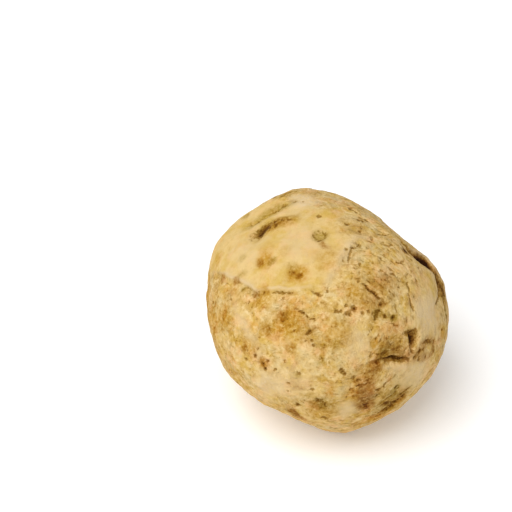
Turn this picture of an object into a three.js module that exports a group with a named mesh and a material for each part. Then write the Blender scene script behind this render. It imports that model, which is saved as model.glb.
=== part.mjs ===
// A whole white truffle, resting on the small flat that its weight has pressed into its underside.
// It grew as one piece, so it is one solid: an egg-like body with broad swellings and hollows, narrow
// grooves where its lobes meet, and a few round dimples.
// Millimetres, +Z up, the front faces -Y. The origin is at the middle of the base of its bounding box.

import * as THREE from "three";

// Driving dimensions of the body before it swelled.
const WIDTH = 58.8; // left to right, along X
const DEPTH = 59.4; // front to back, along Y
const HEIGHT = 53; // from the crown to the unpressed underside
const PRESSED = 1.1; // how much of the underside is pressed flat

// How finely the body is divided: each edge of an icosahedron is cut into this many steps, plus one.
const STEPS = 17;

// A place on the body is an azimuth, turned about +Z from +X, and an elevation above the horizon, in
// degrees, both seen from the middle of the body.

// Broad swellings and hollows. spread is the angle at which one has faded to about a third, in degrees.
// rise is its height at the middle, and a hollow's rise is negative.
const SWELLINGS = [
  { azimuth: 117, elevation: 47, spread: 20, rise: 2.6 }, // the crown, at the upper left
  { azimuth: 37, elevation: 36, spread: 24, rise: -3.4 }, // the long slope down to the right
  { azimuth: 156, elevation: 26, spread: 20, rise: 1.9 }, // the left shoulder
  { azimuth: -10, elevation: -11, spread: 26, rise: 0.7 }, // the right flank
  { azimuth: -170, elevation: -11, spread: 24, rise: -1.4 }, // the left waist
  { azimuth: -136, elevation: -39, spread: 24, rise: -2.4 }, // the undercut at the lower left
  { azimuth: -69, elevation: -48, spread: 16, rise: 2.0 }, // the keel under the front
  { azimuth: -37, elevation: -36, spread: 14, rise: 0.4 }, // the heel at the lower right
  { azimuth: -59, elevation: 18, spread: 9, rise: -0.9 }, // the hollow low on the front
  { azimuth: 72, elevation: -10, spread: 20, rise: 2.0 }, // the larger lobe at the back
  { azimuth: 132, elevation: -14, spread: 18, rise: 1.3 }, // the smaller lobe at the back
  { azimuth: 103, elevation: 2, spread: 14, rise: -1.9 }, // the saddle between those two
];

// Grooves, each along a path of [azimuth, elevation] places. A groove has faded to about a third at
// halfWidth from its path, and depth is measured at the path.
const GROOVES = [
  { depth: 1.0, halfWidth: 2.0, path: [[147, 68], [159, 58], [170, 53], [-177, 52]] }, // the cleft
  { depth: 0.6, halfWidth: 1.8, path: [[132, 59], [149, 51], [161, 45]] }, // the fold beside the cleft
  { depth: 1.2, halfWidth: 1.7, path: [[2, 45], [5, 34], [4, 26], [-8, 20], [-21, 20]] }, // the furrow
  { depth: 0.7, halfWidth: 1.8, path: [[-66, 15], [-55, 12], [-47, 9]] }, // the slot under the hollow
  { depth: 0.9, halfWidth: 1.9, path: [[100, 20], [104, 0], [98, -22]] }, // the seam down the saddle
];

// Round dimples, each faded to about a third at its radius.
const DIMPLES = [
  { azimuth: -147, elevation: 51, radius: 2.4, depth: 0.6 },
  { azimuth: -116, elevation: 54, radius: 2.8, depth: 0.7 },
  { azimuth: -116, elevation: 78, radius: 2.2, depth: 0.4 },
  { azimuth: -44, elevation: 19, radius: 2.0, depth: 0.7 },
  { azimuth: 60, elevation: 8, radius: 2.4, depth: 0.7 },
  { azimuth: 148, elevation: -4, radius: 2.2, depth: 0.5 },
];

const MEAN_RADIUS = (WIDTH + DEPTH + HEIGHT) / 6;

// The unit vector from the middle of the body to a place.
function direction(azimuth, elevation) {
  const turn = THREE.MathUtils.degToRad(azimuth);
  const tilt = THREE.MathUtils.degToRad(elevation);
  return new THREE.Vector3(Math.cos(tilt) * Math.cos(turn), Math.cos(tilt) * Math.sin(turn), Math.sin(tilt));
}

// The smooth bump that every feature uses: 1 at its middle, and 1/e at share = 1.
function bump(share) {
  return Math.exp(-share * share);
}

// The plain body's radius along a unit vector.
function eggRadius(along) {
  return 1 / Math.hypot(along.x / (WIDTH / 2), along.y / (DEPTH / 2), along.z / (HEIGHT / 2));
}

// How far a swelling or hollow moves the surface along a unit vector. The angle is measured by the
// chord between the two directions.
function swellingRise({ azimuth, elevation, spread, rise }, along) {
  const widest = 2 * Math.sin(THREE.MathUtils.degToRad(spread) / 2);
  return rise * bump(along.distanceTo(direction(azimuth, elevation)) / widest);
}

// The straight stretches of a groove's path, as chords of the unit sphere.
function stretches(path) {
  const places = path.map(([azimuth, elevation]) => direction(azimuth, elevation));
  return places.slice(1).map((place, i) => new THREE.Line3(places[i], place));
}

// How deep a groove is along a unit vector: its depth, faded by the distance to its nearest stretch.
function grooveDepth({ depth, halfWidth, lines }, along) {
  const nearest = new THREE.Vector3();
  const away = lines.map((line) => line.closestPointToPoint(along, true, nearest).distanceTo(along));
  return depth * bump((Math.min(...away) * MEAN_RADIUS) / halfWidth);
}

// How deep a dimple is along a unit vector.
function dimpleDepth({ azimuth, elevation, radius, depth }, along) {
  return depth * bump((along.distanceTo(direction(azimuth, elevation)) * MEAN_RADIUS) / radius);
}

// The body as a closed surface round its own middle: a ball of even triangles, with each corner moved
// along its direction to the surface, and the underside pressed flat.
function bodyGeometry() {
  const grooves = GROOVES.map((groove) => ({ ...groove, lines: stretches(groove.path) }));
  const floor = PRESSED - HEIGHT / 2;
  const geometry = new THREE.IcosahedronGeometry(1, STEPS);
  const corners = geometry.getAttribute("position");
  const along = new THREE.Vector3();
  for (let i = 0; i < corners.count; i++) {
    along.fromBufferAttribute(corners, i).normalize();
    let radius = eggRadius(along);
    for (const swelling of SWELLINGS) radius += swellingRise(swelling, along);
    for (const groove of grooves) radius -= grooveDepth(groove, along);
    for (const dimple of DIMPLES) radius -= dimpleDepth(dimple, along);
    corners.setXYZ(i, along.x * radius, along.y * radius, Math.max(along.z * radius, floor));
  }
  geometry.computeVertexNormals();
  geometry.computeBoundingBox();
  return geometry;
}

const skin = new THREE.MeshStandardMaterial({ color: 0xd6b67c, roughness: 0.72, metalness: 0 });
const truffle = new THREE.Mesh(bodyGeometry(), skin);
truffle.name = "truffle";

// Stand the body on the origin: centred in X and Y, with its flat at z = 0.
const { min, max } = truffle.geometry.boundingBox;
truffle.position.set(-(min.x + max.x) / 2, -(min.y + max.y) / 2, -min.z);

const part = new THREE.Group();
part.add(truffle);

export default part;
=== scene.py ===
"""A whole white truffle, resting on a pale floor in soft studio light.

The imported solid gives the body. This script gives it its skin: the folds, pits, cracks and scars,
and the mottled cream and ochre colour with soil left in the hollows. Lengths on the skin are in
millimetres until the mesh is made, which is in metres.
"""

import itertools

import bpy
import numpy as np
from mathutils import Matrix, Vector


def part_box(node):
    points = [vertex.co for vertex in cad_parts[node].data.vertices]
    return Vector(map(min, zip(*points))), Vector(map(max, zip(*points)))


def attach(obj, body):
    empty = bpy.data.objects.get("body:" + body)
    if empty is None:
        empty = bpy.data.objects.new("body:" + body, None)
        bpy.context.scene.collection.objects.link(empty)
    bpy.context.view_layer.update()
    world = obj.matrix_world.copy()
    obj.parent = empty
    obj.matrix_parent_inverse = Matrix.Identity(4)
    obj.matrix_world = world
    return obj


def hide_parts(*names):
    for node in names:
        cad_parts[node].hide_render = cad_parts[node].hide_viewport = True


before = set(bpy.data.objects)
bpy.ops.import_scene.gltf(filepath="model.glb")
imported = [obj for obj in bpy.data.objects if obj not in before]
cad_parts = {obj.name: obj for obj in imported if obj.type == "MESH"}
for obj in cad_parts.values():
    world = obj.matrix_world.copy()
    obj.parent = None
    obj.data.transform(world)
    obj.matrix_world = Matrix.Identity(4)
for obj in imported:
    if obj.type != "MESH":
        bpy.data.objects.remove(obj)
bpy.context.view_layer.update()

MM = 0.001

# ---------------------------------------------------------------------------------------------
# The body: one solid lump of fungus, with no stalk, core or shell that shows. It grew round, and
# swelled unevenly between stones, so its outline is a little lobed and its underside is pressed.
# ---------------------------------------------------------------------------------------------

FACE_STEPS = 128  # squares along each edge of the grids that cover the body
CORNER_REACH = 0.045  # how far a corner of the solid is felt, in radians
low, high = (np.array(corner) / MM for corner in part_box("truffle"))
MIDDLE = (low + high) / 2
MEAN_RADIUS = float(np.mean(high - low)) / 2


def ball_grid(steps):
    """Even directions over a ball, and the squares between them.

    Each of a cube's six faces is a grid of two parameters from -1 to 1. The tangent of a quarter
    turn times each parameter evens the steps, and dividing by the length puts the points on a
    ball. Points that faces share are merged.
    """
    across = np.tan(np.linspace(-1, 1, steps + 1) * np.pi / 4)
    s, t = np.meshgrid(across, across, indexing="ij")
    one = np.ones_like(s)
    faces = [(one, s, t), (-one, t, s), (t, one, s), (s, -one, t), (s, t, one), (t, s, -one)]
    points = np.concatenate([np.stack(face, -1).reshape(-1, 3) for face in faces])
    points /= np.linalg.norm(points, axis=1, keepdims=True)
    corner = np.arange((steps + 1) ** 2).reshape(steps + 1, steps + 1)
    square = np.stack([corner[:-1, :-1], corner[1:, :-1], corner[1:, 1:], corner[:-1, 1:]], -1)
    squares = np.concatenate([square.reshape(-1, 4) + n * corner.size for n in range(len(faces))])
    _, first, merged = np.unique(np.round(points, 6), axis=0, return_index=True, return_inverse=True)
    return points[first], merged.reshape(-1)[squares]


def body_radius(along):
    """The solid's radius in each direction, in mm: the mean of its corners' distances from the
    middle, each weighted by a bell curve of the angle between that corner and the direction."""
    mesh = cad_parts["truffle"].data
    corners = np.empty(len(mesh.vertices) * 3, np.float32)
    mesh.vertices.foreach_get("co", corners)
    corners = np.unique(np.round(corners.reshape(-1, 3) / MM, 3), axis=0) - MIDDLE
    distance = np.linalg.norm(corners, axis=1)
    ways = (corners / distance[:, None]).astype(np.float32)
    radius = np.empty(len(along))
    for block in np.array_split(np.arange(len(along)), 40):
        weight = np.exp((along[block].astype(np.float32) @ ways.T - 1) / CORNER_REACH**2)
        radius[block] = weight @ distance / weight.sum(1)
    return radius


along, squares = ball_grid(FACE_STEPS)
radius = body_radius(along)
surface = along * radius[:, None]  # points on the body, in mm from its middle

# ---------------------------------------------------------------------------------------------
# The relief of the skin: grooves where lobes met, cracks, scratches, raised lips, dimples and pits.
# A place is (azimuth, elevation) in degrees from the middle of the body: azimuth is turned about
# +Z from +X, so -90 is the front and 90 the back, where the crown is.
# ---------------------------------------------------------------------------------------------


def direction(azimuth, elevation):
    """The unit vector towards a place."""
    turn, tilt = np.radians(azimuth), np.radians(elevation)
    return np.stack([np.cos(tilt) * np.cos(turn), np.cos(tilt) * np.sin(turn), np.sin(tilt)], -1)


def bell(share):
    """1 at the middle of a mark, fading to a third where share is 1."""
    return np.exp(-(share**2))


def blot(share):
    """1 over most of a mark, fading fast to a third where share is 1."""
    return np.exp(-(share**4))


def tent(share):
    """1 at the middle of a mark, falling evenly to a half where share is 1 and to nothing at 2. The
    skin's colour cuts across it, so that a mark's edge is crisper than the mesh."""
    return np.clip(1 - share / 2, 0, 1)


def ramp(value, start, end):
    """0 before start and 1 after end, with a smooth step between."""
    share = np.clip((value - start) / (end - start), 0, 1)
    return share * share * (3 - 2 * share)


def cloud(points, size, seed, cells=64):
    """Smooth random values from -1 to 1: random numbers at the corners of cubes `size` mm wide,
    blended across each cube by a smooth step along each axis."""
    lattice = np.random.default_rng(seed).uniform(-1, 1, (cells, cells, cells))
    scaled = points / size + cells / 2
    cell = np.floor(scaled).astype(int)
    part = scaled - cell
    part = part**3 * (part * (part * 6 - 15) + 10)
    total = np.zeros(len(points))
    for corner in itertools.product((0, 1), repeat=3):
        weight = np.prod(np.where(corner, part, 1 - part), axis=1)
        total += weight * lattice[tuple(((cell + corner) % cells).T)]
    return total


def billow(points, size, seed, octaves=3, keep=0.5):
    """Clouds of halving size and fading height, each turned a new way, added up."""
    total = np.zeros(len(points))
    for n in range(octaves):
        turned = np.linalg.qr(np.random.default_rng(seed + n).normal(size=(3, 3)))[0]
        total += keep**n * cloud(points @ turned, size / 2**n, seed + n)
    return total


def crests(points, size, seed):
    """Winding ridges from 0 to 1, where a cloud passes through zero."""
    return 1 - np.clip(np.abs(cloud(points, size, seed)) * 3.5, 0, 1)


# Marks aren't drawn with a ruler: each point feels its distance to them from a little way off.
felt = surface + 0.32 * np.stack([billow(surface, 2.2, seed, 2) for seed in (1, 3, 5)], -1)
felt /= np.linalg.norm(felt, axis=1, keepdims=True)


def from_place(azimuth, elevation):
    """Distance in mm from each point of the skin to a place."""
    return np.linalg.norm(felt - direction(azimuth, elevation), axis=1) * MEAN_RADIUS


def from_path(path):
    """Distance in mm from each point of the skin to the nearest stretch of a path of places, how
    far along the path that is, from 0 to 1, and its side, which is positive on the left."""
    places = direction(*np.transpose(path))
    nearest = np.full(len(felt), np.inf)
    share, side = np.zeros(len(felt)), np.zeros(len(felt))
    lengths = np.linalg.norm(np.diff(places, axis=0), axis=1)
    passed = np.concatenate([[0], np.cumsum(lengths)])
    for n, (start, end) in enumerate(itertools.pairwise(places)):
        step = end - start
        part = np.clip((felt - start) @ step / (step @ step), 0, 1)
        gap = felt - start - part[:, None] * step
        away = np.linalg.norm(gap, axis=1)
        closer = away < nearest
        nearest = np.where(closer, away, nearest)
        share = np.where(closer, (passed[n] + part * lengths[n]) / passed[-1], share)
        side = np.where(closer, gap @ np.cross(start, step), side)
    return nearest * MEAN_RADIUS, share, side


def thinned(share):
    """The strength of a mark along its path: full in the middle and thin at both ends."""
    return np.sqrt(np.clip(np.sin(np.pi * (0.06 + 0.88 * share)), 0, 1))


rise = np.zeros(len(along))  # how far the skin stands off the body, in mm
TINTS = ("scuff", "soil", "rust", "ochre", "olive", "rose", "pale")
tints = {name: np.zeros(len(along)) for name in TINTS}


def tint(name, amount):
    """Lays an amount, from 0 to 1, of one of the skin's tints over what is there."""
    tints[name] = 1 - (1 - tints[name]) * (1 - np.clip(amount, 0, 1))


def pack_soil(amount):
    """Packs soil, from 0 to 1, where there isn't already more."""
    tints["soil"] = np.maximum(tints["soil"], amount)


# The upper left of the body is smooth, inside a loop that follows the crease, the curved ridge and
# the crown. The rest is scuffed: its outer skin has rubbed and cracked.
CREASE = [(179, 17), (-165, 30), (-153, 35), (-141, 38), (-135, 38), (-128, 42), (-116, 45)]
CREASE += [(-108, 48), (-102, 49)]
loop = CREASE + [(-94, 55), (-86, 62), (-78, 70), (-60, 78), (60, 84), (125, 72), (138, 50)]
loop += [(150, 34), (164, 22), (179, 17)]
away, _, side = from_path(loop)
inside = np.where(side > 0, away, -away)
gradual = ramp(along[:, 0], -0.25, 0.1)  # how gradually the smooth part ends, towards the right
ragged = -inside + (0.5 + 3 * gradual) * billow(surface, 4, 11)
scuffed = ramp(ragged, -0.6 - 3 * gradual, 1 + 6 * gradual)
SMOOTH = [((-28, 22), 6.5), ((-15, 30), 4.5), ((-47, -4), 5.5), ((-79, -11), 3.0)]
SMOOTH += [((62, 2), 5.5), ((84, -30), 4.5), ((128, -8), 6.0), ((170, -22), 5.0), ((30, -12), 5.0)]
for place, radius_mm in SMOOTH:
    away = np.linalg.norm(along - direction(*place), axis=1) * MEAN_RADIUS
    scuffed *= 1 - 0.75 * bell(away / radius_mm)
tint("scuff", scuffed)
rise += 0.22 * bell(inside / 3.0) * (1 - scuffed)

# Broad unevenness of the whole body, then a finer knobbliness that is stronger where it is scuffed.
rise += 0.32 * billow(surface, 8, 21, 2) + 0.16 * (0.4 + 0.6 * scuffed) * billow(surface, 4.2, 25, 2)
fine = 0.7 * billow(surface, 2.6, 31, 3, 0.6) + 0.8 * (crests(surface, 3.8, 35) - 0.3)
fine += 0.5 * (crests(surface, 2.1, 37) - 0.3)

# Wrinkles run in arcs round the bulges, where the skin was stretched: the one high on the front,
# and the two lobes at the back.
BULGES = [(-78, 32), (72, -12), (140, -20)]
gaps = [np.linalg.norm(along - direction(*bulge), axis=1) * MEAN_RADIUS for bulge in BULGES]
from_bulge = np.minimum.reduce(gaps)
arcs = cloud(felt * 7.0 + np.outer(from_bulge, (0.75, 0.45, -0.6)), 1.0, 41)
arc_zone = np.maximum(0.1 + 0.9 * ramp(along[:, 0], -0.15, 0.3), ramp(along[:, 1], 0.0, 0.4))
arc_zone *= ramp(from_bulge, 6, 11) * ramp(-from_bulge, -40, -30)
fine = fine * (1 - 0.4 * arc_zone) + 0.7 * arc_zone * arcs
rise += (0.03 + 0.12 * scuffed) * fine

# Grooves where lobes met, and cracks: path, half width and depth in mm, and the soil left in it. A
# depth below nothing fills in part of the groove that the solid already has.
GROOVES = [
    ([(-179, 50), (179, 52), (175, 54), (170, 56)], 1.4, 0.5, 0.95),  # the dark lower end of the cleft
    ([(170, 57), (168, 61), (167, 66), (168, 72)], 2.2, -0.7, 0.12),  # its shallower upper end
    ([(164, 44), (158, 49), (150, 54), (142, 58), (134, 62)], 1.1, 0.35, 0.08),  # the fold beside
    ([(5, 50), (6, 45), (2, 41)], 0.4, 0.5, 0.7),  # the start of the furrow
    ([(2, 41), (3, 36), (6, 31)], 1.3, 2.0, 1.2),  # its wide top
    ([(6, 31), (6, 25), (2, 20), (-5, 17)], 1.0, 1.9, 1.2),
    ([(2, 21), (-7, 19), (-17, 19)], 0.6, 0.9, 0.8),  # its two ends
    ([(-4, 17), (-7, 13), (-11, 8)], 0.6, 0.7, 0.75),
    ([(-70, 14), (-65, 12), (-60, 12)], 0.45, 0.3, 0.65),  # the slot under the hollow
    ([(-62, 12), (-57, 11), (-53, 9), (-48, 7)], 0.42, 0.8, 1.0),  # its dark middle
    ([(-60, 11), (-57, 11), (-54, 10)], 0.65, 0.4, 0.95),
    ([(-52, 9), (-50, 8)], 0.65, 0.5, 0.85),
    ([(-49, 21), (-46, 20), (-43, 19), (-41, 16)], 0.55, 0.6, 0.8),  # the head of the hook-shaped pit
    ([(-45, 19), (-45, 16), (-46, 13)], 0.8, 0.9, 1.3),  # its deep middle
    ([(-43, 19), (-43, 16)], 0.7, 0.4, 0.85),
    ([(-46, 13), (-47, 10)], 0.35, 0.4, 0.55),
    ([(-39, 12), (-36, 11), (-33, 9)], 0.4, 0.4, 0.75),  # the ring beside the hook
    ([(-33, 10), (-31, 7), (-32, 4)], 0.25, 0.25, 0.5),
    ([(-60, -14), (-57, -16), (-53, -17)], 0.5, 0.5, 0.6),  # the folds at the rim
    ([(-48, -12), (-53, -17), (-58, -23), (-63, -28)], 0.35, 0.6, 0.6),
    ([(-46, -9), (-50, -11), (-54, -12)], 0.3, 0.3, 0.5),
    ([(-51, -13), (-57, -19), (-62, -23)], 0.3, 0.3, 0.5),
    ([(-53, -5), (-57, -9), (-63, -12)], 0.3, 0.3, 0.45),
    ([(-65, 50), (-62, 48), (-60, 45), (-58, 42), (-56, 40)], 0.27, 0.45, 0.95),  # the scratch
    ([(-31, 41), (-33, 38), (-35, 36)], 0.25, 0.35, 0.7),  # the crack to the right of the bulge
    ([(-37, 36), (-38, 33), (-39, 28)], 0.28, 0.45, 0.9),
    ([(-110, 38), (-105, 37), (-101, 35), (-96, 34)], 0.22, 0.35, 0.7),  # below the crease
    ([(-127, 40), (-121, 42), (-117, 43), (-113, 44)], 0.2, 0.25, 0.6),  # along the crease
    ([(-101, 47), (-98, 46), (-94, 45)], 0.26, 0.3, 0.85),
    ([(-66, 23), (-62, 26)], 0.25, 0.25, 0.5),  # the short lines in the hollow
    ([(-64, 21), (-62, 23)], 0.35, 0.25, 0.6),
    ([(-60, 24), (-58, 20), (-57, 17)], 0.22, 0.2, 0.5),
    ([(-58, 30), (-54, 27), (-52, 23)], 0.25, 0.2, 0.5),
    ([(-70, 25), (-67, 28), (-63, 30)], 0.2, 0.2, 0.4),
    ([(-71, 19), (-66, 17), (-63, 15)], 0.2, 0.2, 0.45),
    ([(-42, 69), (-51, 68), (-60, 69), (-66, 66), (-71, 61)], 0.3, 0.22, 0.6),  # along the ridge
    ([(-62, 63), (-52, 61), (-44, 58)], 0.2, 0.15, 0.3),  # wrinkles on the bulge
    ([(-66, 59), (-56, 57), (-48, 53)], 0.2, 0.12, 0.25),
    ([(-56, 52), (-50, 50), (-46, 46)], 0.2, 0.12, 0.25),
    ([(-20, 62), (-16, 58), (-12, 56)], 0.25, 0.2, 0.5),
    ([(-10, 66), (0, 62), (4, 57)], 0.25, 0.2, 0.5),
    ([(-30, 52), (-25, 49), (-22, 46)], 0.22, 0.2, 0.5),
    ([(-26, 38), (-24, 34), (-23, 31)], 0.22, 0.2, 0.4),
    ([(-14, 41), (-14, 38)], 0.25, 0.25, 0.6),  # the dashes towards the furrow
    ([(-47, 48), (-44, 45)], 0.25, 0.2, 0.55),
    ([(-39, 49), (-36, 47)], 0.3, 0.2, 0.5),
    ([(-129, -2), (-127, -6)], 0.25, 0.25, 0.5),  # low on the left
    ([(-95, -3), (-91, -5), (-88, -9)], 0.3, 0.3, 0.55),  # the arc low on the front
    ([(100, 24), (101, 12), (104, 0)], 0.7, 1.0, 0.8),  # the seam between the lobes at the back
    ([(105, 5), (103, -9), (99, -22)], 0.6, 0.9, 0.55),  # its fainter lower half
    ([(104, 2), (112, -6), (124, -10)], 0.6, 0.5, 0.6),  # its branch
]
for path, half_width, depth, soil in GROOVES:
    away, share, _ = from_path(path)
    rise -= depth * thinned(share) * bell(away / half_width)
    pack_soil(soil * thinned(share) * tent(away / half_width))

# Soil smeared up the far wall of the furrow, and a dark spot above it: path, half width in mm, and
# the amount.
SMEARS = [
    ([(3, 42), (5, 37), (8, 32), (8, 27), (4, 21), (-2, 17)], 0.95, 1.3),
    ([(8, 29), (5, 21), (-1, 16), (-6, 12)], 1.0, 0.9),
    ([(-4, 50), (-8, 47)], 0.9, 1.1),
]
for path, half_width, amount in SMEARS:
    away, share, _ = from_path(path)
    pack_soil(amount * thinned(share) * tent(away / half_width))

# Raised lips and ridges: path, half width and height in mm, and how pale each is painted, partly
# rubbed skin and partly a painted highlight along its raised edge.
LIPS = [
    (CREASE, 0.4, 0.35, 1.0),
    ([(-172, 53), (180, 56), (176, 59), (175, 64), (177, 70)], 0.9, 0.12, 0.3),  # the cleft's lips
    ([(172, 46), (165, 49), (158, 55), (152, 62), (150, 68)], 0.8, 0.3, 0.4),
    ([(-92, 52), (-83, 61), (-75, 66), (-64, 71), (-43, 73), (-23, 70)], 1.1, 0.5, 0.7),
    ([(-15, 40), (-8, 33), (-3, 26), (-10, 21), (-22, 22)], 0.8, 0.4, 0.45),  # the furrow's lips
    ([(6, 45), (10, 39), (13, 33), (13, 26), (10, 19), (4, 13)], 0.7, 0.6, 0.9),
    ([(-72, 11), (-62, 9), (-54, 6), (-48, 3)], 0.6, 0.25, 0.5),  # the lip under the slot
    ([(-65, 19), (-63, 23), (-61, 26)], 0.5, 0.2, 0.5),  # between the lines in the hollow
    ([(-150, 29), (-142, 25), (-134, 21), (-126, 17), (-119, 11), (-116, 3)], 1.3, 0.2, 0.55),
    ([(-46, -12), (-51, -19), (-56, -25), (-64, -31)], 0.6, 0.4, 0.5),  # the lip at the rim
]
for path, half_width, height, pale in LIPS:
    away, share, _ = from_path(path)
    rise += height * thinned(share) * bell(away / half_width)
    # The pale here is partly rubbed skin and partly a painted highlight on the raised edge.
    tint("pale", pale * thinned(share) * bell(away / half_width))

# The skin just below the crease has sunk a little, and olive is painted there as shade under
# the raised lip.
away, share, side = from_path(CREASE)
sunk_and_shade = (side < 0) * bell((away - 0.8) / 0.5) * thinned(share)
rise -= 0.15 * sunk_and_shade
tint("olive", 0.35 * sunk_and_shade)

# Stains that follow a path, some with painted shade in them: path, half width in mm, and how much
# of which tint.
STREAKS = [
    ([(-179, 50), (174, 54), (167, 58)], 2.3, "olive", 0.9),
    ([(176, 57), (174, 62), (173, 71)], 2.1, "olive", 0.55),  # the cleft
    ([(-179, 53), (175, 57), (173, 62), (172, 70)], 2.3, "ochre", 1.0),
    ([(176, 58), (174, 63), (172, 69)], 1.3, "rust", 0.5),
    ([(165, 44), (158, 50), (148, 55), (136, 62)], 1.8, "olive", 0.8),  # the fold
    ([(135, 51), (127, 51), (121, 55)], 0.8, "olive", 0.8),
    # The next two are partly the skin's own ochre and partly painted shade on the left edge.
    ([(179, 15), (-172, 8), (-168, -3)], 2.6, "ochre", 0.9),  # the left edge
    ([(-166, 26), (-160, 16), (-156, 8)], 2.4, "ochre", 0.4),
    ([(-75, 9), (-66, 10)], 2.2, "ochre", 0.8),  # the long brown patch below the hollow
    ([(-71, 8), (-72, 1), (-71, -13)], 2.4, "rose", 1.0),
    ([(-71, 7), (-72, 0), (-71, -10)], 1.4, "rose", 0.9),
    ([(-75, 3), (-75, -5)], 1.6, "ochre", 0.7),
    # The next four are partly stain and partly painted shade low in the hollow, above the slot.
    ([(-62, 18), (-56, 16), (-48, 12)], 2.4, "rose", 0.5),
    ([(-61, 18), (-56, 15), (-52, 13)], 1.6, "olive", 0.55),  # low in the hollow
    ([(-66, 13), (-58, 13), (-50, 9)], 1.4, "rose", 0.75),
    ([(-50, 9), (-45, 7), (-39, 6)], 1.6, "rose", 0.6),
    ([(-42, 11), (-36, 12), (-31, 8), (-33, 3), (-40, 3)], 0.8, "rose", 0.85),  # the ring
    ([(-49, -12), (-55, -20), (-62, -27), (-72, -29)], 1.6, "ochre", 1.0),  # the rim
    ([(-50, -8), (-57, -14), (-62, -20)], 3.0, "olive", 0.8),
    ([(-50, -12), (-56, -18), (-62, -24)], 1.8, "rust", 0.4),
    ([(5, 42), (7, 32), (7, 20), (0, 12)], 1.6, "rose", 0.7),  # along the furrow
    ([(2, 45), (3, 38), (7, 30), (6, 22)], 1.4, "rust", 0.6),
    ([(-5, 14), (-10, 8), (-14, 2)], 1.0, "olive", 0.8),
    ([(-25, 12), (-21, 8), (-24, 2)], 0.9, "ochre", 0.6),
    ([(-110, 75), (-99, 72), (-90, 71)], 0.7, "rose", 0.9),  # below the scar
    ([(-106, 74), (-97, 73)], 0.6, "rust", 0.7),
    ([(-96, -4), (-91, -7), (-86, -10)], 2.0, "olive", 0.75),  # the arc low on the front
    ([(-87, 4), (-87, -3)], 1.3, "ochre", 0.75),
    ([(-105, 4), (-99, 1)], 0.8, "rose", 0.5),
    ([(-105, -15), (-102, -22), (-96, -27)], 1.4, "rust", 0.8),
    ([(-106, -13), (-101, -22)], 1.3, "rose", 0.9),
    ([(-55, 26), (-52, 24)], 0.9, "rose", 0.6),  # the patch above the hook
]
for path, half_width, name, amount in STREAKS:
    away, share, _ = from_path(path)
    tint(name, amount * thinned(share) * blot(away / half_width))

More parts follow.
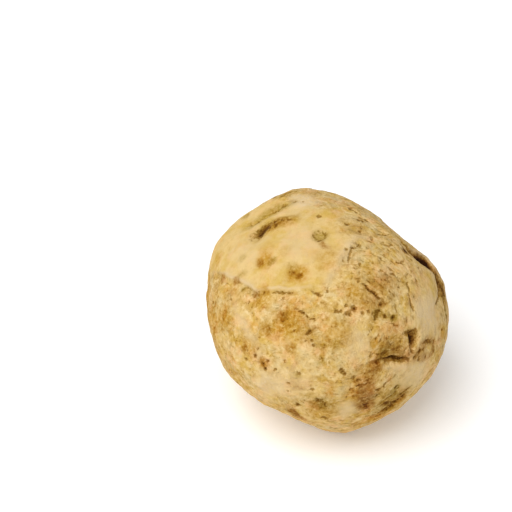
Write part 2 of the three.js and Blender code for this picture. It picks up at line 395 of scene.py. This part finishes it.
# Round marks: place, radius and depth in mm, then how much of which tint.
SPOTS = [
    ((-150, 48), 1.0, 0.45, "rust", 1.0),  # the first dimple on the smooth part
    ((-148, 50), 2.4, 0.35, "ochre", 0.95),
    ((-142, 53), 1.4, 0.1, "olive", 0.75),
    ((-155, 54), 2.0, 0.0, "ochre", 0.4),
    ((-121, 53), 0.8, 0.3, "rust", 0.8),  # the second
    ((-115, 53), 0.95, 0.4, "rust", 0.9),
    ((-117, 54), 2.6, 0.25, "ochre", 0.95),
    ((-123, 56), 1.5, 0.1, "olive", 0.5),
    ((-163, 42), 1.2, 0.0, "olive", 0.5),  # smudges beside the first
    ((-153, 38), 1.3, 0.0, "olive", 0.5),
    ((178, 26), 2.2, 0.0, "ochre", 0.5),
    ((-139, 60), 1.8, 0.0, "ochre", 0.3),
    ((-92, 64), 3.4, 0.0, "ochre", 0.5),
    ((-164, 28), 1.2, 0.1, "rose", 0.9),  # under the crease
    ((-153, 34), 1.1, 0.15, "rose", 1.0),
    ((-145, 34), 0.8, 0.1, "olive", 0.8),
    ((-136, 36), 1.2, 0.1, "rose", 0.8),
    # The next six are partly the skin's own ochre and partly painted shade on the left edge.
    ((-150, 27), 3.0, 0.0, "ochre", 0.4),
    ((-145, 17), 2.8, 0.1, "ochre", 0.95),
    ((-158, 8), 3.5, 0.0, "ochre", 0.7),
    ((-150, -3), 3.5, 0.0, "ochre", 0.6),
    ((-138, -6), 3.0, 0.0, "ochre", 0.5),
    ((-150, 12), 2.0, 0.1, "ochre", 0.6),
    ((-127, 14), 2.6, 0.15, "ochre", 0.65),
    ((-129, 12), 0.8, 0.1, "rust", 0.9),
    ((-132, 41), 1.0, 0.1, "ochre", 0.7),  # where the crease turns
    ((-130, 36), 2.4, 0.0, "ochre", 0.8),
    ((-110, 31), 3.6, 0.0, "ochre", 1.0),  # the orange patch below the crack
    ((-115, 32), 1.1, 0.15, "rust", 1.0),
    ((-120, 24), 1.3, 0.1, "rust", 0.75),
    ((-120, 25), 2.1, 0.1, "ochre", 0.8),
    ((-107, 20), 1.2, 0.1, "rust", 0.85),
    ((-84, 28), 3.8, 0.0, "ochre", 0.6),
    ((-99, 26), 2.0, 0.1, "rust", 0.6),
    ((-118, 10), 1.2, 0.3, "rust", 1.0),
    ((-118, 9), 1.0, 0.0, "rust", 0.9),
    ((-104, -17), 1.5, 0.1, "rust", 0.9),
    ((-103, -20), 1.0, 0.1, "rust", 0.9),
    ((-92, 17), 1.2, 0.1, "olive", 0.8),
    ((-85, 24), 1.2, 0.1, "olive", 0.5),
    ((-102, 8), 1.0, 0.1, "olive", 0.6),
    ((-90, -12), 3.6, 0.1, "ochre", 0.65),
    ((-78, -2), 2.0, 0.0, "ochre", 0.6),
    ((-61, 45), 5.5, 0.0, "ochre", 0.5),  # the warm middle of the bulge
    ((-73, 47), 1.8, 0.0, "ochre", 0.8),
    ((-57, 38), 1.0, 0.1, "rust", 0.8),
    ((-60, 41), 3.0, 0.0, "rose", 0.4),
    ((-45, 46), 2.8, 0.0, "rose", 0.65),
    ((-66, 22), 1.2, 0.1, "ochre", 0.9),
    # The next three are partly stain and partly painted shade in the low hollow.
    ((-61, 15), 1.5, 0.15, "olive", 1.0),  # in the low hollow
    ((-55, 15), 1.2, 0.0, "rust", 0.6),
    ((-57, 23), 3.5, 0.0, "ochre", 0.45),
    ((-60, 34), 1.2, 0.15, "olive", 1.0),  # the blotches above the hollow
    ((-62, 33), 0.9, 0.1, "olive", 0.8),
    ((-57, 32), 1.0, 0.1, "olive", 0.8),
    ((-53, 30), 1.1, 0.15, "olive", 1.0),
    ((-90, 22), 1.9, 0.15, "olive", 0.4),
    ((-40, 8), 2.6, 0.1, "rose", 0.7),
    ((-66, 10), 1.3, 0.1, "rust", 0.9),
    ((-71, -9), 2.1, 0.15, "rose", 1.0),
    ((-71, -11), 1.3, 0.0, "rust", 0.8),
    ((-69, -2), 3.4, 0.0, "rust", 0.35),
    ((-71, -10), 2.3, 0.0, "olive", 0.45),
    ((-64, -20), 7.5, 0.0, "ochre", 0.4),
    ((-60, -8), 2.0, 0.0, "olive", 0.5),
    ((-56, -5), 1.4, 0.1, "olive", 0.9),
    ((-66, -5), 1.2, 0.1, "olive", 0.9),
    ((-59, -15), 1.5, 0.1, "rust", 0.8),
    ((-30, 21), 5.0, 0.0, "pale", 0.8),  # the pale smooth cheek on the right
    ((-45, -2), 4.5, 0.0, "pale", 0.7),
    ((-79, -11), 3.0, 0.0, "pale", 0.6),
    # The next two are partly paler skin and partly a painted highlight on the top.
    ((-128, 70), 6.5, 0.0, "pale", 0.4),  # the pale top
    ((128, 66), 3.6, 0.0, "pale", 0.9),
    ((-20, 78), 4.0, 0.0, "rose", 0.3),
    ((-165, 45), 6.0, 0.0, "pale", 0.4),
    ((-105, 5), 4.5, 0.0, "pale", 0.4),
    ((-115, -1), 3.5, 0.0, "pale", 0.7),
    ((-75, 24), 3.5, 0.0, "pale", 0.45),
]
for place, radius_mm, depth, name, amount in SPOTS:
    away = from_place(*place) + 0.2 * radius_mm * billow(surface, 2.0, 61)
    rise -= depth * bell(away / radius_mm)
    tint(name, amount * blot(away / radius_mm))

# The round scar: a ring of olive, where something broke off while it grew.
away = np.linalg.norm(along - direction(-117, 78), axis=1) * MEAN_RADIUS
rise -= 0.35 * bell(away / 1.7) - 0.15 * bell((away - 2.2) / 0.5)
tint("olive", 1.0 * blot(away / 2.2))
pack_soil(0.3 * tent(abs(away - 1.5) / 0.5))

# Small dark pits: places, then the radius and depth in mm and the soil in each.
PITS = [
    ([(-84, 38), (-82, 38), (-79, 37), (-77, 37)], 0.45, 0.35, 0.85),  # the two long ones
    ([(-74, 39), (-45, 18), (-53, 30)], 0.5, 0.4, 0.9),
    ([(-78, 41), (-70, 37), (-90, 49), (-90, 47), (-118, 40), (-57, 38)], 0.33, 0.3, 0.68),
    ([(-99, 28), (-98, 29), (-100, 24), (-97, 25), (-96, 23), (-137, 31)], 0.32, 0.3, 0.85),
    ([(-150, 25), (-148, 27), (-131, 38), (-134, 38), (-41, 41), (-39, -18)], 0.26, 0.25, 0.59),
    ([(-83, 12), (-82, 11), (-81, 10)], 0.33, 0.35, 1.1),
    ([(-60, 35), (-62, 33), (-57, 32), (-53, 30), (-61, 15), (-57, 18), (-92, 17)], 0.46, 0.2, 0.5),
    ([(-63, 1), (-66, -1), (-66, -5), (-75, 6), (-56, -4), (-6, 49), (-8, 47)], 0.4, 0.3, 0.72),
    ([(-71, 5), (-72, -6), (-71, -11), (-66, 10), (-77, 7)], 0.8, 0.15, 0.38),
    ([(-150, 48), (-115, 53), (-121, 53), (-55, 38), (-104, -18), (-101, -22)], 0.6, 0.1, 0.24),
    ([(-122, 15), (-127, 11), (-122, 11), (-141, 10), (-139, 9), (-127, 7)], 0.33, 0.25, 0.68),
    ([(-118, 9), (-117, 7), (-116, 11), (-102, 9), (-102, 8), (-112, 8), (-105, 3)], 0.33, 0.3, 0.9),
    ([(-101, -9), (-83, -34), (-89, -17)], 0.45, 0.3, 0.85),
    ([(-21, 48), (-23, 8), (-25, 5), (-93, -5), (-24, 38), (7, 49), (9, 44)], 0.33, 0.3, 0.63),
    ([(-39, 8), (-41, 9), (-39, 4), (-43, 5), (-45, 7), (-42, 8), (-46, 10)], 0.36, 0.3, 0.72),
    ([(57, 70), (53, 70), (48, 70), (22, 75), (20, 73), (25, 69), (-5, 81), (149, 83)], 0.45, 0.2, 0.8),
    ([(-50, 69), (-47, 68), (-68, 69), (-75, 63), (-60, 59), (-41, 65), (-18, 74)], 0.33, 0.2, 0.59),
    ([(-37, 57), (-41, 60), (-39, 61), (-45, 52), (-30, 57), (-12, 57), (-22, 49)], 0.33, 0.2, 0.54),
    ([(177, 58), (173, 61), (171, 65), (172, 69), (177, 62), (151, 55), (149, 57)], 0.5, 0.15, 0.5),
    ([(158, 50), (160, 48), (163, 45), (132, 62), (142, 58), (129, 51), (82, 73)], 0.7, 0.2, 0.38),
]
for places, radius_mm, depth, soil in PITS:
    for place in places:
        away = from_place(*place) + 0.22 * billow(surface, 1.3, 81, 2)
        rise -= depth * bell(away / radius_mm)
        pack_soil(soil * tent(away / radius_mm))

# The back and the underside are stained and cracked by chance, in the same ways.
BEHIND = direction(105, -30)
draw = np.random.default_rng(17)
for _ in range(130):
    place = (draw.uniform(-180, 180), np.degrees(np.arcsin(draw.uniform(-1, 1))))
    radius_mm, depth, amount = draw.uniform(0.8, 3.4), draw.uniform(0.0, 0.2), draw.uniform(0.4, 1.0)
    name = draw.choice(["ochre", "ochre", "rose", "olive", "rust", "pale", "pale"])
    if direction(*place) @ BEHIND > 0.1:
        away = from_place(*place) + 0.25 * radius_mm * billow(surface, 2.0, 61)
        rise -= depth * bell(away / radius_mm)
        tint(name, amount * blot(away / radius_mm))
for _ in range(50):
    place = (draw.uniform(-180, 180), np.degrees(np.arcsin(draw.uniform(-0.9, 0.9))))
    turns = np.cumsum(draw.uniform(-0.7, 0.7, 4)) + draw.uniform(0, 2 * np.pi)
    steps = draw.uniform(2, 5, 4)[:, None] * np.stack([np.cos(turns), np.sin(turns)], -1)
    half_width, depth, soil = draw.uniform(0.2, 0.4), draw.uniform(0.2, 0.5), draw.uniform(0.4, 0.9)
    if direction(*place) @ BEHIND > 0.3:
        away, share, _ = from_path(np.array(place) + np.cumsum(steps, 0))
        rise -= depth * scuffed * thinned(share) * bell(away / half_width)
        pack_soil(soil * scuffed * thinned(share) * tent(away / half_width))

# Smaller pits scattered over the scuffed skin.
draw = np.random.default_rng(91)
for _ in range(240):
    place = (draw.uniform(-180, 180), np.degrees(np.arcsin(draw.uniform(-1, 1))))
    radius_mm, soil = draw.uniform(0.2, 0.45), draw.uniform(0.2, 0.7)
    away = from_place(*place)
    rise -= 0.4 * radius_mm * scuffed * bell(away / radius_mm)
    pack_soil(soil * scuffed * tent(away / radius_mm))

# The underside stays on its flat: the relief fades out there, and nothing goes below the floor.
rise *= ramp(along[:, 2], -0.97, -0.85)
points = MIDDLE + along * (radius + rise)[:, None]
points[:, 2] = np.maximum(points[:, 2], low[2])

mesh = bpy.data.meshes.new("truffle_skin")
mesh.from_pydata((MM * points).tolist(), [], squares.tolist())
mesh.shade_smooth()
skin_values = {**tints, "fine_relief": fine, "from_bulge": from_bulge, "arc_zone": arc_zone}
for name, amount in skin_values.items():
    attribute = mesh.attributes.new(name, "FLOAT", "POINT")
    attribute.data.foreach_set("value", amount.astype(np.float32))
skin = bpy.data.objects.new("truffle_skin", mesh)
bpy.context.scene.collection.objects.link(skin)
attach(skin, "root")
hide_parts("truffle")

# ---------------------------------------------------------------------------------------------
# The skin's colour: cream to ochre, mottled with brown where it is scuffed, dark where soil is
# left. It is dry and matt, with a faint waxiness on the smooth part.
# ---------------------------------------------------------------------------------------------


def colour(red, green, blue):
    """A colour given as a screen shows it, from 0 to 255, as the linear one that a node takes."""
    shares = np.array([red, green, blue]) / 255
    linear = np.where(shares <= 0.04045, shares / 12.92, ((shares + 0.055) / 1.055) ** 2.4)
    return (*linear.tolist(), 1.0)


class Value:
    """A socket of a material's nodes. A sign between values, or a value and a number, adds a Math
    node, and `node` adds any other."""

    def __init__(self, tree, socket=None):
        self.tree, self.socket = tree, socket

    def node(self, kind, settings, inputs, output=0):
        """Adds a node of a kind: its settings first, then its sockets, by name or number."""
        made = self.tree.nodes.new(kind)
        for name, setting in settings.items():
            setattr(made, name, setting)
        for name, given in inputs.items():
            if isinstance(given, Value):
                self.tree.links.new(given.socket, made.inputs[name])
            else:
                made.inputs[name].default_value = given
        return Value(self.tree, made.outputs[output])

    def maths(self, operation, first, second=0.0):
        return self.node("ShaderNodeMath", {"operation": operation}, {0: first, 1: second})

    def __add__(self, other):
        return self.maths("ADD", self, other)

    __radd__ = __add__

    def __sub__(self, other):
        return self.maths("SUBTRACT", self, other)

    def __mul__(self, other):
        return self.maths("MULTIPLY", self, other)

    __rmul__ = __mul__

    def __abs__(self):
        return self.maths("ABSOLUTE", self)

    def vector(self, operation, inputs):
        return self.node("ShaderNodeVectorMath", {"operation": operation}, {0: self, **inputs})

    def step(self, start, end):
        """0 before start and 1 after end, with a smooth step between. It falls if end is first."""
        settings = {"interpolation_type": "SMOOTHSTEP"}
        if start < end:
            return self.node("ShaderNodeMapRange", settings, {0: self, 1: start, 2: end})
        return self.node("ShaderNodeMapRange", settings, {0: self, 1: end, 2: start, 3: 1, 4: 0})

    def noise(self, size, detail=2.0, roughness=0.5, output=0):
        """Cloudy values round a half, in lumps `size` mm wide, at this point in mm."""
        inputs = {"Vector": self, "Scale": 1 / size, "Detail": detail, "Roughness": roughness}
        return self.node("ShaderNodeTexNoise", {}, inputs, output)


material = bpy.data.materials.new("truffle_skin")
material.use_nodes = True
tree = material.node_tree
shader = tree.nodes["Principled BSDF"]
start = Value(tree)


def blend(first, second, share):
    """The first colour, turning into the second as the share goes from 0 to 1."""
    inputs = {0: share, 6: first, 7: second}
    return start.node("ShaderNodeMix", {"data_type": "RGBA"}, inputs, 2)


def stain(first, filter_rgb, share):
    """The first colour as it shows through a stain that lets the given parts of it through."""
    settings = {"data_type": "RGBA", "blend_type": "MULTIPLY"}
    return start.node("ShaderNodeMix", settings, {0: share, 6: first, 7: (*filter_rgb, 1.0)}, 2)


point = start.node("ShaderNodeTexCoord", {}, {}, 3).vector("SCALE", {3: 1 / MM})
stir = point.noise(2.6, 2.0, output=1).vector("SUBTRACT", {1: (0.5, 0.5, 0.5)})
bent = point.vector("ADD", {1: stir.vector("SCALE", {3: 1.2})})
scuff, soil, rust, ochre, olive, rose, pale, relief, reach, zone = (
    start.node("ShaderNodeAttribute", {"attribute_name": name}, {}, 2) for name in skin_values
)

hues = bent.noise(3.8, 3.0, 0.6, output=1)
patch = bent.noise(2.8, 3.0, 0.6)
mottle = bent.noise(1.2, 3.0, 0.65)
speckle = bent.noise(0.6, 2.0, 0.6)
grain = point.noise(0.3, 2.0)
flake = start.node("ShaderNodeTexVoronoi", {}, {"Vector": bent, "Scale": 1 / 1.9}, 1)
flake = start.node("ShaderNodeSeparateColor", {}, {0: flake})
stroke = start.node(
    "ShaderNodeTexNoise",
    {"noise_dimensions": "4D"},
    {"Vector": bent.vector("SCALE", {3: 0.55}), "W": reach * 1.1, "Scale": 1.0, "Detail": 3.0},
)
near = zone * scuff

# The plain skin: smooth and creamy, or worn, mottled and finely cracked.
CREAM = colour(219, 187, 121)
WORN = colour(220, 187, 122)
RUBBED = colour(236, 210, 156)
red, green, blue = (start.node("ShaderNodeSeparateColor", {}, {0: hues}, n) for n in range(3))
crack = abs(bent.noise(2.4, 2.0) - 0.5).step(0.025, 0.0) * patch.step(0.45, 0.6)
dull = (0.75 * patch + 0.25 * mottle).step(0.38, 0.64)
specks = speckle.step(0.58, 0.78) * patch.step(0.38, 0.6)
look = blend(CREAM, WORN, scuff)
look = stain(look, (0.80, 0.72, 0.52), dull * (0.15 + 0.75 * scuff))
look = blend(look, colour(228, 178, 122), red.step(0.45, 0.68) * (0.4 + 0.25 * scuff))
look = stain(look, (0.90, 0.84, 0.46), green.step(0.42, 0.66) * (0.85 + 0.1 * scuff))
look = blend(look, colour(205, 182, 132), blue.step(0.45, 0.7) * (0.2 + 0.5 * scuff))
look = blend(look, RUBBED, mottle.step(0.5, 0.3) * (0.15 + 0.35 * scuff))
look = blend(look, RUBBED, relief.step(0.2, 1.4) * (0.2 + 0.4 * scuff))
look = stain(look, (0.76, 0.67, 0.46), mottle.step(0.5, 0.72) * (0.3 + 0.5 * scuff))
look = stain(look, (0.56, 0.47, 0.24), specks * (0.15 + 0.7 * scuff))
look = stain(look, (0.55, 0.45, 0.24), crack * scuff * 0.5)
look = stain(look, (0.58, 0.49, 0.30), stroke.step(0.55, 0.68) * near)
look = blend(look, RUBBED, stroke.step(0.44, 0.3) * near * 0.4)

# Its stains, broken up by the mottling, and the soil, with a sharper edge. The pale and the stains
# also hold painted highlights on the lips and the top, and painted shade below the crease, low in
# the hollow and along the left edge.
broken = 1 + 1.6 * (mottle - 0.5) + 1.0 * (speckle - 0.5)
look = blend(look, colour(220, 194, 150), pale * broken * 0.85)
look = stain(look, (0.68, 0.54, 0.36), rose * broken)
look = stain(look, (0.75, 0.58, 0.20), ochre * broken)
look = stain(look, (0.60, 0.55, 0.26), olive * broken)
look = stain(look, (0.64, 0.48, 0.18), rust * broken)
clods = (0.5 * (speckle - 0.5) + 0.35 * (mottle - 0.5)) * soil.step(0.0, 0.2)
packed = soil + clods + 0.25 * (grain - 0.5)
look = stain(look, (0.58, 0.48, 0.27), packed.step(0.12, 0.45))
look = stain(look, (0.38, 0.26, 0.08), packed.step(0.45, 0.85))
look = stain(look, (0.34, 0.28, 0.20), packed.step(0.75, 1.1))

tree.links.new(look.socket, shader.inputs["Base Color"])
rough = 0.6 + 0.15 * grain + 0.12 * scuff
tree.links.new(rough.socket, shader.inputs["Roughness"])
lumps = (0.4 * speckle + 0.7 * mottle + 0.3 * patch + 0.15 * flake) * (0.2 + 0.8 * scuff)
height = 0.3 * grain + lumps - 0.4 * stroke.step(0.5, 0.7) * near - 0.6 * packed.step(0.15, 0.6)
bump = start.node("ShaderNodeBump", {}, {"Strength": 0.6, "Distance": 0.0005, "Height": height})
tree.links.new(bump.socket, shader.inputs["Normal"])
shader.inputs["Specular IOR Level"].default_value = 0.08
mesh.materials.append(material)

# ---------------------------------------------------------------------------------------------
# The floor, the light and the camera.
# ---------------------------------------------------------------------------------------------
FLOOR_REACH = 3.0
FLOOR_GLOW = 0.16  # lightens the shadow, as white paper lit all round would be
SKY_LIGHT = 0.445
corners = [(-FLOOR_REACH, -FLOOR_REACH, 0), (FLOOR_REACH, -FLOOR_REACH, 0)]
corners += [(FLOOR_REACH, FLOOR_REACH, 0), (-FLOOR_REACH, FLOOR_REACH, 0)]
floor_mesh = bpy.data.meshes.new("floor")
floor_mesh.from_pydata(corners, [], [(0, 1, 2, 3)])
floor = bpy.data.objects.new("floor", floor_mesh)
bpy.context.scene.collection.objects.link(floor)
paper = bpy.data.materials.new("white_paper")
paper.use_nodes = True
paper_shader = paper.node_tree.nodes["Principled BSDF"]
paper_shader.inputs["Base Color"].default_value = (0.95, 0.95, 0.95, 1)
paper_shader.inputs["Roughness"].default_value = 0.9
paper_shader.inputs["Emission Color"].default_value = (1, 1, 1, 1)
paper_shader.inputs["Emission Strength"].default_value = FLOOR_GLOW
floor_mesh.materials.append(paper)

middle = Vector(MM * MIDDLE)
world = bpy.data.worlds.new("studio")
world.use_nodes = True
world.node_tree.nodes["Background"].inputs["Color"].default_value = (1, 1, 1, 1)
world.node_tree.nodes["Background"].inputs["Strength"].default_value = SKY_LIGHT
bpy.context.scene.world = world


def softbox(name, azimuth, elevation, distance, width, power):
    """A square light `distance` metres from the middle of the body, turned towards it."""
    light = bpy.data.lights.new(name, "AREA")
    light.size, light.energy = width, power
    lamp = bpy.data.objects.new(name, light)
    away = Vector(direction(azimuth, elevation))
    lamp.location = middle + distance * away
    lamp.rotation_euler = away.to_track_quat("Z", "Y").to_euler()
    bpy.context.scene.collection.objects.link(lamp)


softbox("key", -130, 62, 2.0, 1.5, 34.5)

CAMERA_TILT = np.radians(40)
CAMERA_DISTANCE = 0.3446
ASIDE, ABOVE = -0.0178, 0.0118  # how far from the body's middle the camera aims
toward = Vector((0, -np.cos(CAMERA_TILT), np.sin(CAMERA_TILT)))
image_up = Vector((0, np.sin(CAMERA_TILT), np.cos(CAMERA_TILT)))
lens = bpy.data.cameras.new("camera")
lens.lens, lens.sensor_width = 100, 36
camera = bpy.data.objects.new("camera", lens)
camera.location = middle + CAMERA_DISTANCE * toward
aim = middle + Vector((ASIDE, 0, 0)) + ABOVE * image_up
camera.rotation_euler = (camera.location - aim).to_track_quat("Z", "Y").to_euler()
bpy.context.scene.collection.objects.link(camera)
bpy.context.scene.camera = camera
bpy.context.scene.view_settings.view_transform = "Standard"
